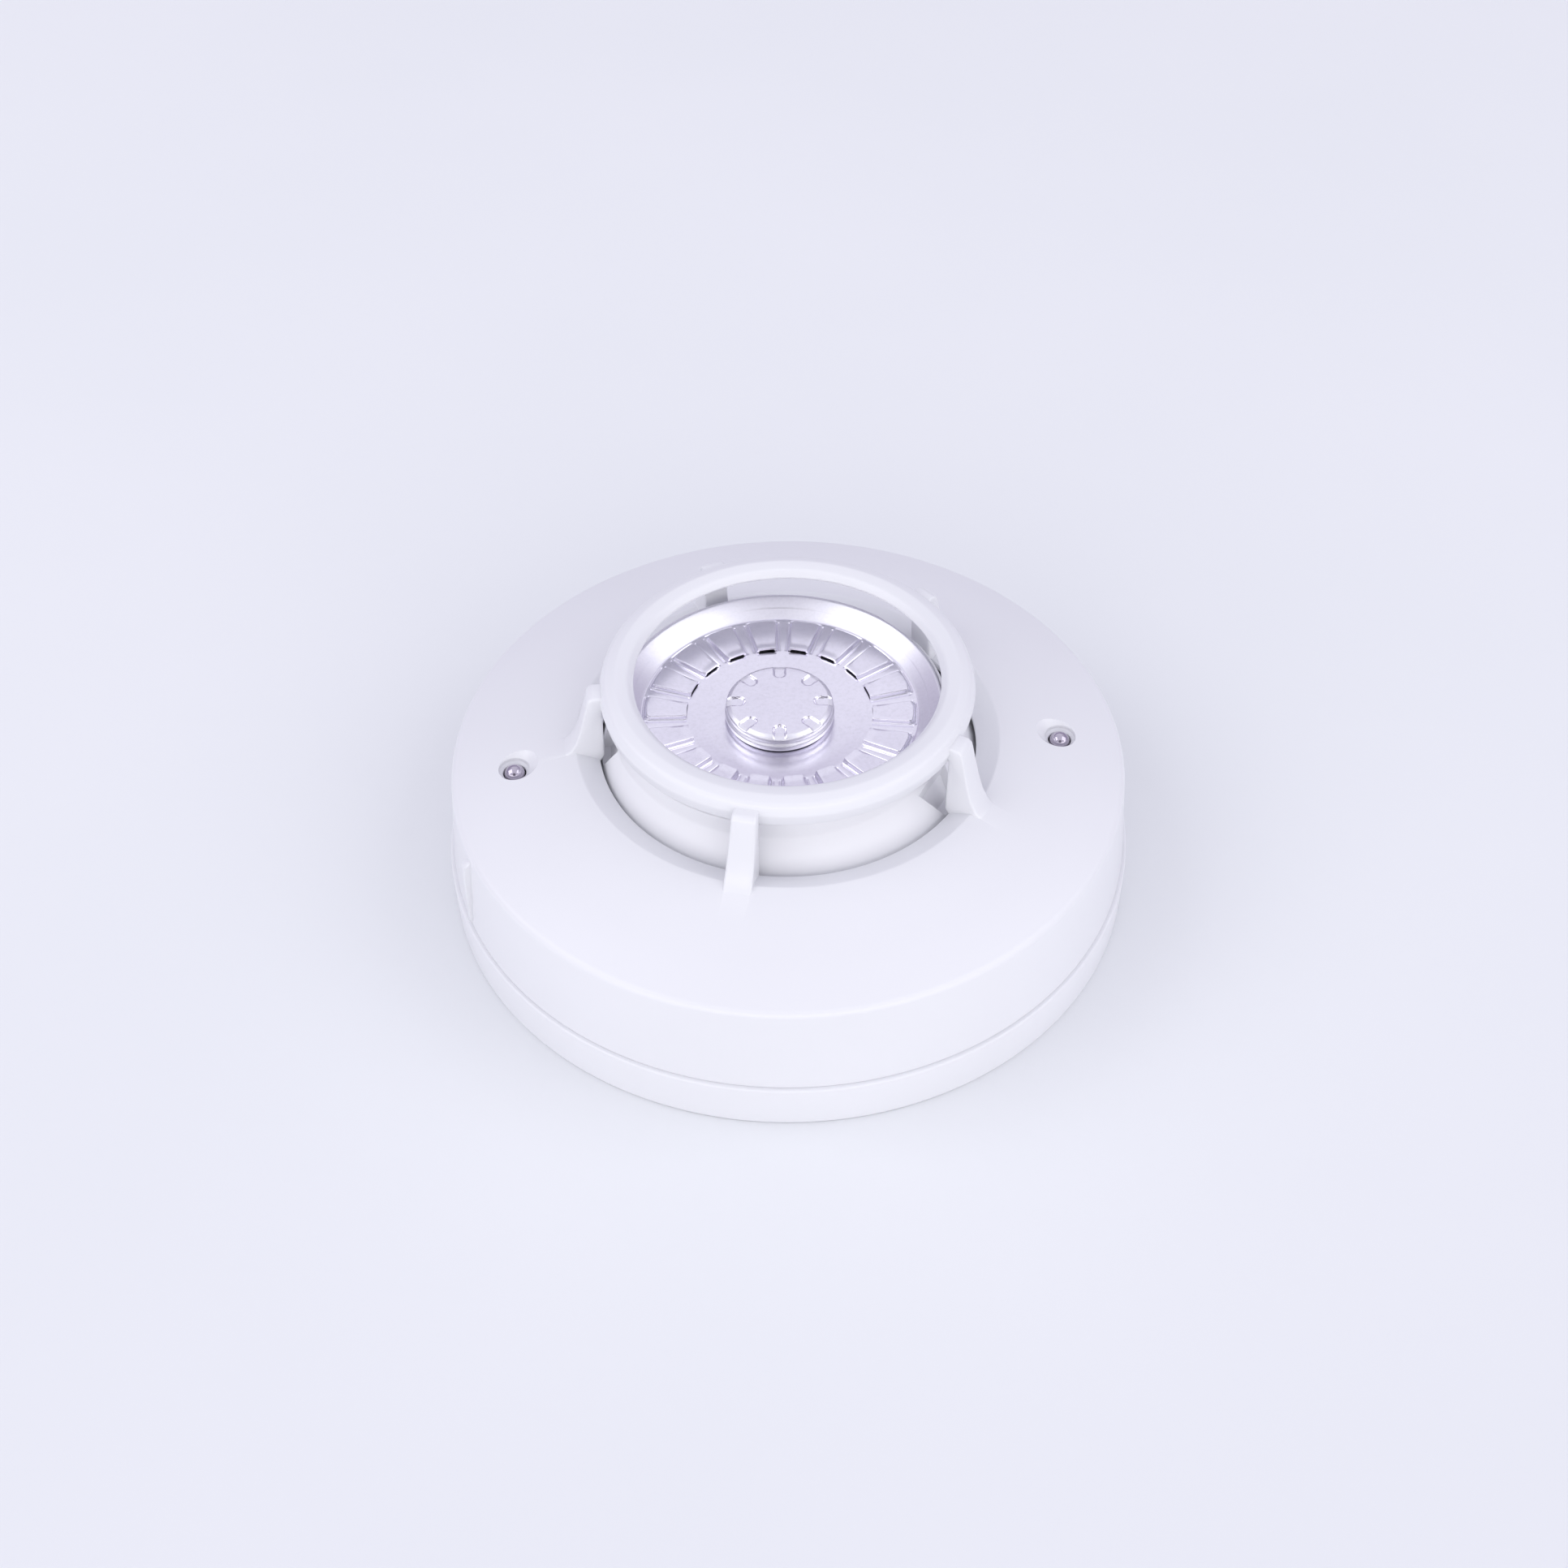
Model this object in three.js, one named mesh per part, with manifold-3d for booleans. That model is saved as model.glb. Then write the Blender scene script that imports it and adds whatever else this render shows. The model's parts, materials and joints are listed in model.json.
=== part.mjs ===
// Heat detector: a round ceiling detector head on its mounting base, lying on its back.
// Units are millimetres. +Z points from the mounting face (z = 0) to the sensing cage,
// the origin is the centre of the mounting face, and +X runs parallel to the line through the two indicators.

import * as THREE from 'three';
import { mergeVertices } from 'three/addons/utils/BufferGeometryUtils.js';
import Module from 'manifold-3d';

const wasm = await Module();
wasm.setup();

// ---------------------------------------------------------------- driving dimensions

const BASE_R = 50;            // mounting base, outside radius
const BASE_H = 7.2;           // mounting base, height of its rim
const FLOOR_T = 2.0;          // mounting base, floor thickness
const WIRE_ENTRY_R = 13;      // mounting base, radius of the wire entry
const SLOT_W = 4.6;           // mounting screw slots, width
const SLOT_IN = 24.5;         // mounting screw slots, inner end
const SLOT_OUT = 37.5;        // mounting screw slots, outer end
const TERMINAL_R = 27.5;      // terminal screws, pitch radius
const SEAM_GAP = 0.3;         // gap between the base rim and the head
const COVER_R0 = 49.4;        // cover wall radius at the seam
const COVER_R1 = 48.35;       // cover wall radius under the shoulder
const SHOULDER_Z = 20.2;      // top of the cover wall
const TOP_R = 47.2;           // outer edge of the sloping top
const TOP_Z = 21.5;
const LIP_R = 30.2;           // lip around the cage opening
const LIP_Z = 25.5;
const OPENING_R = 26.9;       // cage opening
const OPENING_Z = 24.0;
const WALL = 2.0;             // cover wall thickness
const RING_OUT = 26.2;        // cage ring
const RING_IN = 21.4;
const RING_TOP = 36.6;
const RING_BOTTOM = 33.2;
const POSTS = 5;              // cage posts
const POST_W = 3.4;
const POST_ANGLE = 181.5;     // first post, degrees from +X
const LED_R = 39.1;           // indicators, distance along X
const LED_Y = -2.2;           // indicators, offset along Y
const UNIT_X = -1.05;         // sensing unit, set off the cage's axis
const UNIT_Y = 0.75;
const PLATE_Z = 27.5;         // heat plate, top of its middle
const PLATE_R = 22.9;         // heat plate, outside radius
const PLATE_T = 0.5;
const PADS = 18;              // raised pads pressed into the heat plate
const PAD_IN = 13.2;
const PAD_OUT = 19.2;
const PAD_H = 0.55;
const PAD_TURN = 3.7;         // pads, turn of the pattern in degrees
const CUP_R = 7.7;            // sensing element's cup
const CUP_TOP = 30.4;
const CUP_TURN = -4.4;        // scallops of the cup's edge, turn in degrees
const BOARD_Z = 12.8;         // circuit board, underside
const BOARD_T = 1.6;
const BOARD_R = 43;
const REAR_Z = 9.6;           // head's rear housing, underside of its floor
const REAR_T = 1.4;
const LUG_ANGLES = [30, 150, 270];   // bayonet lugs
const LUG_SPAN = 16;          // degrees
const SCREW_ANGLES = [90, 210, 330];
const SCREW_R = 40.5;
const BLADE_ANGLES = [45, 135, 225, 315];
const PORT_X = -10.5;         // diaphragm, offset from the axis
const LEAF_Z = 17.3;          // moving contact leaves, underside

// ---------------------------------------------------------------- materials

const mat = (color, roughness, metalness) => new THREE.MeshStandardMaterial({ color, roughness, metalness });
const WHITE = () => mat(0xeef0f6, 0.42, 0);
const WHITE_IN = () => mat(0xe6e8ee, 0.5, 0);
const ALU = () => mat(0xc9c8d4, 0.32, 1);
const STEEL = () => mat(0xb9bcc4, 0.35, 1);
const BRONZE = () => mat(0xc59a5a, 0.35, 1);
const SILVER = () => mat(0xdedfe4, 0.25, 1);

// ---------------------------------------------------------------- helpers

const rad = (d) => d * Math.PI / 180;

// Closed BufferGeometry -> solid, with its faces pointing out.
function solid(geometry) {
  const g = geometry.clone();
  for (const name of Object.keys(g.attributes)) if (name !== 'position') g.deleteAttribute(name);
  const m = mergeVertices(g, 1e-4);
  const pos = m.attributes.position.array;
  const idx = m.index.array;
  const tris = [];
  let volume = 0;
  for (let i = 0; i < idx.length; i += 3) {
    const [a, b, c] = [idx[i], idx[i + 1], idx[i + 2]];
    if (a === b || b === c || a === c) continue;
    tris.push(a, b, c);
    const [ax, ay, az] = [pos[3 * a], pos[3 * a + 1], pos[3 * a + 2]];
    const [bx, by, bz] = [pos[3 * b], pos[3 * b + 1], pos[3 * b + 2]];
    const [cx, cy, cz] = [pos[3 * c], pos[3 * c + 1], pos[3 * c + 2]];
    volume += ax * (by * cz - bz * cy) - ay * (bx * cz - bz * cx) + az * (bx * cy - by * cx);
  }
  if (volume < 0) for (let i = 0; i < tris.length; i += 3) [tris[i + 1], tris[i + 2]] = [tris[i + 2], tris[i + 1]];
  return new wasm.Manifold(new wasm.Mesh({
    numProp: 3, vertProperties: new Float32Array(pos), triVerts: new Uint32Array(tris),
  }));
}

function geometryOf(m) {
  const mesh = m.getMesh();
  const g = new THREE.BufferGeometry();
  g.setAttribute('position', new THREE.BufferAttribute(new Float32Array(mesh.vertProperties), 3));
  g.setIndex(new THREE.BufferAttribute(new Uint32Array(mesh.triVerts), 1));
  g.computeVertexNormals();
  return g;
}

const join = (list) => list.reduce((a, b) => a.add(b));
const cut = (from, list) => list.reduce((a, b) => a.subtract(b), from);

// A profile of [radius, z] points turned about Z. A profile off the axis closes on itself.
// lean(z), if given, is the share of the sensing unit's offset that a point at that height takes.
function turned(profile, segments = 48, lean = null) {
  const pts = profile.map(([r, z]) => new THREE.Vector2(r, z));
  const onAxis = profile[0][0] === 0 && profile[profile.length - 1][0] === 0;
  if (!onAxis) pts.push(pts[0].clone());
  const g = new THREE.LatheGeometry(pts, segments);
  g.rotateX(Math.PI / 2);
  if (lean) {
    const p = g.attributes.position;
    for (let i = 0; i < p.count; i++) {
      const w = lean(p.getZ(i));
      p.setXY(i, p.getX(i) + w * UNIT_X, p.getY(i) + w * UNIT_Y);
    }
  }
  return solid(g);
}

// A polygon in the XY plane raised from z0 to z1.
function raised(points, z0, z1) {
  const shape = new THREE.Shape(points.map(([x, y]) => new THREE.Vector2(x, y)));
  const g = new THREE.ExtrudeGeometry(shape, { depth: z1 - z0, bevelEnabled: false });
  g.translate(0, 0, z0);
  return solid(g);
}

// A polygon of [radius, z] points, w wide, standing along the ray at an angle in degrees.
function fin(points, w, angle) {
  const shape = new THREE.Shape(points.map(([r, z]) => new THREE.Vector2(r, z)));
  const g = new THREE.ExtrudeGeometry(shape, { depth: w, bevelEnabled: false });
  g.rotateX(Math.PI / 2);
  g.translate(0, w / 2, 0);
  g.rotateZ(rad(angle));
  return solid(g);
}

// A sector of a ring between two radii and two angles in degrees.
function sector(r0, r1, a0, a1, z0, z1, n = 4) {
  const pts = [];
  for (let i = 0; i <= n; i++) { const a = rad(a0 + (a1 - a0) * i / n); pts.push([r1 * Math.cos(a), r1 * Math.sin(a)]); }
  for (let i = n; i >= 0; i--) { const a = rad(a0 + (a1 - a0) * i / n); pts.push([r0 * Math.cos(a), r0 * Math.sin(a)]); }
  return raised(pts, z0, z1);
}

function disc(r, z0, z1, x = 0, y = 0, segments = 24) {
  const g = new THREE.CylinderGeometry(r, r, z1 - z0, segments);
  g.rotateX(Math.PI / 2);
  g.translate(x, y, (z0 + z1) / 2);
  return solid(g);
}

function coneCut(rTop, rBottom, z0, z1, x, y, segments = 24) {
  const g = new THREE.CylinderGeometry(rTop, rBottom, z1 - z0, segments);
  g.rotateX(Math.PI / 2);
  g.translate(x, y, (z0 + z1) / 2);
  return solid(g);
}

function block(x0, x1, y0, y1, z0, z1, angle = 0) {
  const g = new THREE.BoxGeometry(x1 - x0, y1 - y0, z1 - z0);
  g.translate((x0 + x1) / 2, (y0 + y1) / 2, (z0 + z1) / 2);
  if (angle) g.rotateZ(rad(angle));
  return solid(g);
}

// A slot with round ends along the ray at an angle in degrees.
function slot(r0, r1, w, z0, z1, angle) {
  const pts = [];
  const h = w / 2;
  for (let i = 0; i <= 6; i++) { const a = rad(-90 + 180 * i / 6); pts.push([r1 - h + h * Math.cos(a), h * Math.sin(a)]); }
  for (let i = 0; i <= 6; i++) { const a = rad(90 + 180 * i / 6); pts.push([r0 + h + h * Math.cos(a), h * Math.sin(a)]); }
  const c = Math.cos(rad(angle)), s = Math.sin(rad(angle));
  return raised(pts.map(([x, y]) => [x * c - y * s, x * s + y * c]), z0, z1);
}

const at = (r, deg) => [r * Math.cos(rad(deg)), r * Math.sin(rad(deg))];

const detector = new THREE.Group();
const base = new THREE.Group();
const head = new THREE.Group();
const unit = new THREE.Group();      // sensing unit, part of the head
unit.position.set(UNIT_X, UNIT_Y, 0);
head.add(unit);
detector.add(base, head);

function piece(group, name, shape, material) {
  const mesh = new THREE.Mesh(geometryOf(shape), material);
  mesh.name = name;
  group.add(mesh);
  return mesh;
}

// ================================================================ mounting base

// Tray with a rim, a wire entry, screw slots, terminal bosses and bayonet lugs.
{
  const tray = turned([
    [WIRE_ENTRY_R, 0], [BASE_R, 0], [BASE_R, BASE_H - 0.5], [BASE_R - 0.25, BASE_H], [47.8, BASE_H],
    [47.8, FLOOR_T], [WIRE_ENTRY_R + 1.4, FLOOR_T], [WIRE_ENTRY_R + 1.4, 3.4], [WIRE_ENTRY_R, 3.4],
  ], 40);
  const adds = [];
  const cuts = [];
  for (const a of [0, 90, 180, 270]) {
    adds.push(slot(SLOT_IN - 1.6, SLOT_OUT + 1.6, SLOT_W + 3.2, 1.0, 2.8, a));
    cuts.push(slot(SLOT_IN, SLOT_OUT, SLOT_W, -1, 4, a));
  }
  for (const a of BLADE_ANGLES) {
    adds.push(block(22.8, 32.0, -4.2, 4.2, 1.0, 3.0, a));
    const [x, y] = at(TERMINAL_R, a);
    cuts.push(disc(1.8, 0.8, 5, x, y, 16));
  }
  for (const a of LUG_ANGLES) {
    adds.push(sector(46.2, 48.4, a - LUG_SPAN / 2, a + LUG_SPAN / 2, 5.2, 6.8));
    adds.push(sector(46.2, 48.4, a - LUG_SPAN / 2 - 2.4, a - LUG_SPAN / 2 - 0.6, 1.5, 6.8, 2));
  }
  piece(base, 'mounting_base', cut(tray.add(join(adds)), cuts), WHITE());
}

// Terminal contacts: a clamping end under the screw, a ramp and a raised wiping leaf.
BLADE_ANGLES.forEach((a, i) => {
  const leaf = fin([[23.5, 3.3], [32.4, 3.3], [35.0, 5.2], [42.6, 5.2], [43.3, 4.8], [43.6, 5.2], [42.9, 5.8], [34.8, 5.8], [32.0, 4.0], [23.5, 4.0]], 6.0, a);
  const [x, y] = at(TERMINAL_R, a);
  piece(base, `terminal_contact_${i + 1}`, leaf.subtract(disc(1.9, 2, 5, x, y, 16)), BRONZE());
});

// Terminal screws with a cross recess, and their square clamp washers.
BLADE_ANGLES.forEach((a, i) => {
  const [x, y] = at(TERMINAL_R, a);
  const screw = disc(1.5, 1.0, 5.6, x, y, 10).add(turned([[0, 5.3], [3.1, 5.3], [3.1, 6.4], [2.4, 7.0], [0, 7.0]], 14).translate([x, y, 0]));
  piece(base, `terminal_screw_${i + 1}`, cut(screw, [block(x - 1.8, x + 1.8, y - 0.3, y + 0.3, 6.1, 8), block(x - 0.3, x + 0.3, y - 1.8, y + 1.8, 6.1, 8)]), STEEL());
  piece(base, `clamp_washer_${i + 1}`, block(TERMINAL_R - 3.6, TERMINAL_R + 3.6, -3.6, 3.6, 4.3, 5.1, a).subtract(disc(1.8, 4, 6, x, y, 14)), STEEL());
});

// ================================================================ head: cover and cage

{
  const shell = turned([
    [COVER_R0, BASE_H + SEAM_GAP], [COVER_R1, SHOULDER_Z], [COVER_R1 - 0.2, SHOULDER_Z + 0.7], [TOP_R + 0.35, TOP_Z - 0.1], [TOP_R - 0.3, TOP_Z],
    [41.5, 22.95], [36.0, 24.25], [LIP_R, LIP_Z], [LIP_R - 0.3, LIP_Z - 0.05], [OPENING_R, OPENING_Z], [OPENING_R + 0.1, OPENING_Z - 1.2],
    [OPENING_R + 2.2, OPENING_Z - 1.0], [LIP_R + 0.6, LIP_Z - WALL], [36.0, 22.2], [41.5, 20.9], [46.3, 19.6], [46.5, 18.8], [47.3, BASE_H + SEAM_GAP],
  ], 40);
  // The ring is a hood: its outer wall comes down further than its inner lip.
  const ring = turned([
    [24.6, RING_BOTTOM], [25.7, RING_BOTTOM], [26.1, RING_BOTTOM + 0.5], [RING_OUT, 34.6], [25.9, 35.7], [25.1, 36.4], [24.0, RING_TOP],
    [22.7, 36.45], [21.8, 36.1], [RING_IN, 35.6], [21.6, 35.25], [22.3, 35.1], [24.2, 34.9], [24.6, 34.4],
  ], 36);
  const parts = [];
  for (let i = 0; i < POSTS; i++) {
    const a = POST_ANGLE + i * 360 / POSTS;
    parts.push(fin([[24.6, 33.7], [24.6, 35.5], [27.3, 35.5], [27.9, 35.1], [28.2, 34.0], [29.3, 29.6], [30.7, 25.3], [30.9, 24.0], [26.95, 23.3], [26.2, 24.6], [26.0, 33.2], [25.6, 33.7]], POST_W, a));
  }
  // Pointing rib on the side wall.
  parts.push(fin([[47.6, 8.2], [49.75, 8.2], [49.55, 17.6], [49.3, 19.2], [48.4, 19.9], [47.2, 19.9]], 1.3, 200));
  // Screw bosses under the top.
  for (const a of SCREW_ANGLES) { const [x, y] = at(SCREW_R, a); parts.push(disc(3.0, 11.4, 21.4, x, y, 16)); }
  const cuts = [];
  for (const s of [1, -1]) {
    cuts.push(coneCut(3.5, 2.1, 22.75, 24.2, s * LED_R, LED_Y, 24));
    cuts.push(disc(2.1, 21.9, 23.0, s * LED_R, LED_Y, 24));
    cuts.push(disc(1.75, 19, 22.5, s * LED_R, LED_Y, 24));
  }
  for (const a of SCREW_ANGLES) { const [x, y] = at(SCREW_R, a); cuts.push(disc(1.2, 10, 18.4, x, y, 12)); }
  piece(head, 'outer_cover', cut(shell.add(ring).add(join(parts)), cuts), WHITE());
}

// ================================================================ head: inner housing

// Funnel under the cage opening, notched behind the posts, with a flange and a skirt.
// Its skirt is on the cage's axis and its collar on the sensing unit's.
{
  const funnel = turned([
    [26.1, 14.7], [27.7, 14.7], [27.7, 19.6], [33.0, 19.6], [33.0, 21.0], [27.9, 21.0], [26.8, 22.4], [23.85, 27.6], [23.7, 30.0], [23.2, 30.0], [23.15, 29.4], [21.9, 28.7],
    [21.9, 26.2], [22.5, 26.0], [25.2, 21.2], [25.2, 19.6], [26.1, 18.9],
  ], 36, (z) => Math.min(1, Math.max(0, (z - 22.4) / 5.2)));
  const notches = [];
  for (let i = 0; i < POSTS; i++) {
    const a = POST_ANGLE + i * 360 / POSTS;
    const c = Math.cos(rad(a)), s = Math.sin(rad(a));
    // Wedge that opens upward, run through the funnel along the post's ray.
    const right = i === 1 ? [0.4, 0.4] : [1.9, 5.8];
    const shape = new THREE.Shape([[-1.9, 22.9], [right[0], 22.9], [right[1], 31], [-5.8, 31]].map(([u, v]) => new THREE.Vector2(u, v)));
    const g = new THREE.ExtrudeGeometry(shape, { depth: 5.2, bevelEnabled: false });
    g.rotateX(Math.PI / 2);              // u -> x, v -> z, depth -> -y
    g.translate(0, -23.3, 0);
    g.rotateZ(rad(a + 90));
    notches.push(solid(g));
  }
  piece(head, 'inner_housing', cut(funnel, notches), WHITE_IN());
}

// ================================================================ head: sensing stack

// Heat plate: shallow dish with a raised rim, and pads pressed up from its slope.
{
  const t = PLATE_T;
  const dish = turned([
    [6.95, PLATE_Z - t], [9.5, PLATE_Z - t], [13.0, PLATE_Z + 0.35 - t], [19.4, PLATE_Z + 0.95 - t], [20.3, PLATE_Z + 1.3 - t], [21.3, PLATE_Z + 1.85 - t], [PLATE_R, PLATE_Z + 2.25],
    [PLATE_R, PLATE_Z + 2.7], [PLATE_R - 0.3, PLATE_Z + 2.75], [21.1, PLATE_Z + 1.85], [20.1, PLATE_Z + 1.3], [19.3, PLATE_Z + 0.95], [13.0, PLATE_Z + 0.35], [9.5, PLATE_Z], [6.95, PLATE_Z],
  ], 36);
  const pads = [];
  for (let i = 0; i < PADS; i++) {
    const a = (i + 0.5) * 360 / PADS + PAD_TURN;
    const c = Math.cos(rad(a)), s = Math.sin(rad(a));
    const quad = [[PAD_IN, -1.6], [PAD_OUT, -2.4], [PAD_OUT, 2.4], [PAD_IN, 1.6]].map(([x, y]) => [x * c - y * s, x * s + y * c]);
    const slope = fin([[PAD_IN - 0.5, PLATE_Z + 0.15], [PAD_OUT + 0.5, PLATE_Z + 0.75], [PAD_OUT + 0.5, PLATE_Z + 0.95 + PAD_H], [PAD_IN - 0.5, PLATE_Z + 0.35 + PAD_H]], 7, a);
    pads.push(raised(quad, PLATE_Z - 0.5, PLATE_Z + 3).intersect(slope));
  }
  piece(unit, 'heat_plate', dish.add(join(pads)), ALU());
}

// Element cup: pressed cap with a waist that passes through the plate, and edge notches.
{
  const cup = turned([
    [0, CUP_TOP], [7.0, CUP_TOP], [7.45, CUP_TOP - 0.3], [7.6, CUP_TOP - 1.0], [7.45, CUP_TOP - 1.35], [CUP_R, CUP_TOP - 1.6], [CUP_R, CUP_TOP - 2.3], [7.45, CUP_TOP - 2.6],
    [6.65, CUP_TOP - 2.6], [6.65, 26.6], [8.3, 26.6], [8.3, 26.0], [6.1, 26.0], [6.1, 28.2], [6.9, 28.35], [6.9, 29.5], [6.5, 29.8], [0, 29.8],
  ], 24);
  const notches = [];
  for (let i = 0; i < 8; i++) notches.push(block(4.7, 9, -1.0, 1.0, CUP_TOP - 0.35, CUP_TOP + 1, i * 45 + CUP_TURN));
  piece(unit, 'element_cup', cut(cup, notches), ALU());
}

piece(unit, 'bimetal_disc', turned([[0, 27.85], [3.2, 27.72], [5.7, 27.3], [5.7, 27.05], [3.2, 27.47], [0, 27.6]], 24), BRONZE());
piece(unit, 'disc_retainer', turned([[4.4, 26.2], [5.8, 26.2], [5.8, 26.75], [4.4, 26.75]], 24), STEEL());
piece(unit, 'chamber_seal', turned([[19.3, 26.25], [20.6, 26.25], [20.6, 27.6], [19.3, 27.6]], 28), mat(0x3a3a40, 0.8, 0));

// Chamber base: shallow cup that closes the air chamber under the plate, with a guide tube and a diaphragm port.
{
  const cup = turned([
    [1.2, 20.6], [20.6, 20.6], [20.6, 25.95], [19.3, 25.95], [19.3, 21.8], [2.4, 21.8], [2.4, 25.4], [1.2, 25.4],
  ], 28);
  piece(unit, 'chamber_base', cut(cup, [disc(6.4, 19, 23, PORT_X, 0, 24), disc(0.95, 19, 23, 9.5, 6.5, 14)]), mat(0xd8dade, 0.5, 0));
}
// Breather plug in the chamber floor, drilled with its leak hole.
piece(unit, 'leak_plug', turned([[0.25, 19.6], [1.6, 19.6], [1.6, 20.3], [0.75, 20.3], [0.75, 22.3], [0.25, 22.3]], 14).translate([9.5, 6.5, 0]), STEEL());

// Corrugated diaphragm, clamped round its edge under the port.
piece(unit, 'diaphragm', turned([[0, 20.3], [3.2, 20.3], [4.2, 20.05], [5.2, 20.3], [8.0, 20.3], [8.0, 20.12], [5.25, 20.12], [4.2, 19.87], [3.15, 20.12], [0, 20.12]], 24).translate([PORT_X, 0, 0]), BRONZE());
piece(unit, 'diaphragm_ring', turned([[6.5, 18.9], [8.2, 18.9], [8.2, 19.8], [6.5, 19.8]], 24).translate([PORT_X, 0, 0]), STEEL());

// ================================================================ moving pieces of the sensing stack

// Pusher riding on the diaphragm's centre.
piece(unit, 'diaphragm_pusher', turned([[0, 19.82], [2.2, 19.82], [2.2, 19.4], [0.9, 19.2], [0.9, 18.1], [0.5, 17.85], [0, 17.85]], 20).translate([PORT_X, 0, 0]), mat(0xe0d8b8, 0.5, 0));

// Pin between the bimetal disc and its contact leaf, sliding in the guide tube.
piece(unit, 'bimetal_pin', turned([[0, 27.25], [1.5, 27.25], [1.5, 26.9], [0.9, 26.5], [0.9, 18.1], [0.5, 17.85], [0, 17.85]], 20), mat(0xe8e4dc, 0.35, 0));

// Contact leaves with their tips. Each leaf turns a little about its fixed end.
{
  const leafR = block(PORT_X - 1.6, PORT_X + 1.6, -15.4, 3.4, LEAF_Z, LEAF_Z + 0.25);
  piece(unit, 'contact_leaf_rise', cut(leafR, [disc(0.75, 17, 18, PORT_X, 2.2, 12), disc(0.8, 17, 18, PORT_X, -13.6, 12)]), BRONZE());
  piece(unit, 'contact_tip_rise', join([disc(0.65, 16.9, 17.9, PORT_X, 2.2, 12), disc(1.1, 16.55, 17.2, PORT_X, 2.2, 16)]), SILVER());
  const leafF = block(-1.6, 1.6, -3.4, 15.4, LEAF_Z, LEAF_Z + 0.25);
  piece(unit, 'contact_leaf_fixed_temp', cut(leafF, [disc(0.75, 17, 18, 0, -2.2, 12), disc(0.8, 17, 18, 0, 13.6, 12)]), BRONZE());
  piece(unit, 'contact_tip_fixed_temp', join([disc(0.65, 16.9, 17.9, 0, -2.2, 12), disc(1.1, 16.55, 17.2, 0, -2.2, 16)]), SILVER());
}

// Blocks that carry the leaves, their clamp screws, and the stationary contacts.
{
  const blockR = cut(block(PORT_X - 2.4, PORT_X + 2.4, -16.2, -11.4, 14.7, 17.0), [disc(0.85, 14, 18, PORT_X, -13.6, 12)]);
  const blockF = cut(block(-2.4, 2.4, 11.4, 16.2, 14.7, 17.0), [disc(0.85, 14, 18, 0, 13.6, 12)]);
  piece(unit, 'contact_block_rise', blockR, mat(0x2e3036, 0.6, 0));
  piece(unit, 'contact_block_fixed_temp', blockF, mat(0x2e3036, 0.6, 0));
  for (const [name, x, y] of [['leaf_screw_rise', PORT_X, -13.6], ['leaf_screw_fixed_temp', 0, 13.6]]) {
    piece(unit, name, cut(disc(0.55, 14.9, 18.3, x, y, 12).add(disc(1.4, 17.95, 18.8, x, y, 18)), [block(x - 2, x + 2, y - 0.2, y + 0.2, 18.5, 19.2)]), STEEL());
  }
  const still = (x, y0, y1, yc) => join([
    block(x - 1.4, x + 1.4, y0, y1, 15.0, 15.3), disc(1.1, 15.2, 15.65, x, yc, 16), block(x - 0.5, x + 0.5, y0, y0 + 0.4, 12.2, 15.1), block(x - 0.5, x + 0.5, y1 - 0.4, y1, 12.2, 15.1)]);
  piece(unit, 'still_contact_rise', still(PORT_X, 0.6, 7.0, 2.2), SILVER());
  piece(unit, 'still_contact_fixed_temp', still(0, -7.0, -0.6, -2.2), SILVER());
}

// ================================================================ head: circuit board and indicators

{
  const board = disc(BOARD_R, BOARD_Z, BOARD_Z + BOARD_T, 0, 0, 32);
  const holes = [];
  for (const a of SCREW_ANGLES) { const [x, y] = at(SCREW_R, a); holes.push(disc(3.6, 12, 15, x, y, 16)); }
  for (const a of BLADE_ANGLES) { const [x, y] = at(32.5, a); holes.push(disc(1.2, 12, 15, x, y, 12)); }
  for (const s of [1, -1]) for (const d of [-1.1, 1.1]) holes.push(disc(0.55, 12, 15, s * LED_R, LED_Y + d, 8));
  for (const [x, y0, y1] of [[PORT_X, 0.6, 7.0], [0, -7.0, -0.6]]) for (const y of [y0 + 0.2, y1 - 0.2]) holes.push(block(x - 0.8 + UNIT_X, x + 0.8 + UNIT_X, y - 0.5 + UNIT_Y, y + 0.5 + UNIT_Y, 12, 15));
  piece(head, 'circuit_board', cut(board, holes), mat(0x2f6b45, 0.5, 0));
}

// Indicators: clear domed body on two legs, each standing on a spacer.
for (const [name, s] of [['left', -1], ['right', 1]]) {
  const lens = turned([[0, 23.3], [0.6, 23.18], [1.1, 22.82], [1.4, 22.35], [1.5, 21.8], [1.5, 17.9], [1.85, 17.9], [1.85, 17.1], [0, 17.1]], 16).translate([s * LED_R, LED_Y, 0]);
  const legs = [-1.1, 1.1].map((d) => block(s * LED_R - 0.25, s * LED_R + 0.25, LED_Y + d - 0.25, LED_Y + d + 0.25, 12.2, 17.5));
  piece(head, `led_${name}`, lens.add(join(legs)), mat(0xd8d8e0, 0.1, 0.2));
  piece(head, `led_spacer_${name}`, cut(disc(2.6, 14.7, 16.8, s * LED_R, LED_Y, 18), [-1.1, 1.1].map((d) => block(s * LED_R - 0.5, s * LED_R + 0.5, LED_Y + d - 0.5, LED_Y + d + 0.5, 14, 17.5))), WHITE_IN());
}

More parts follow.
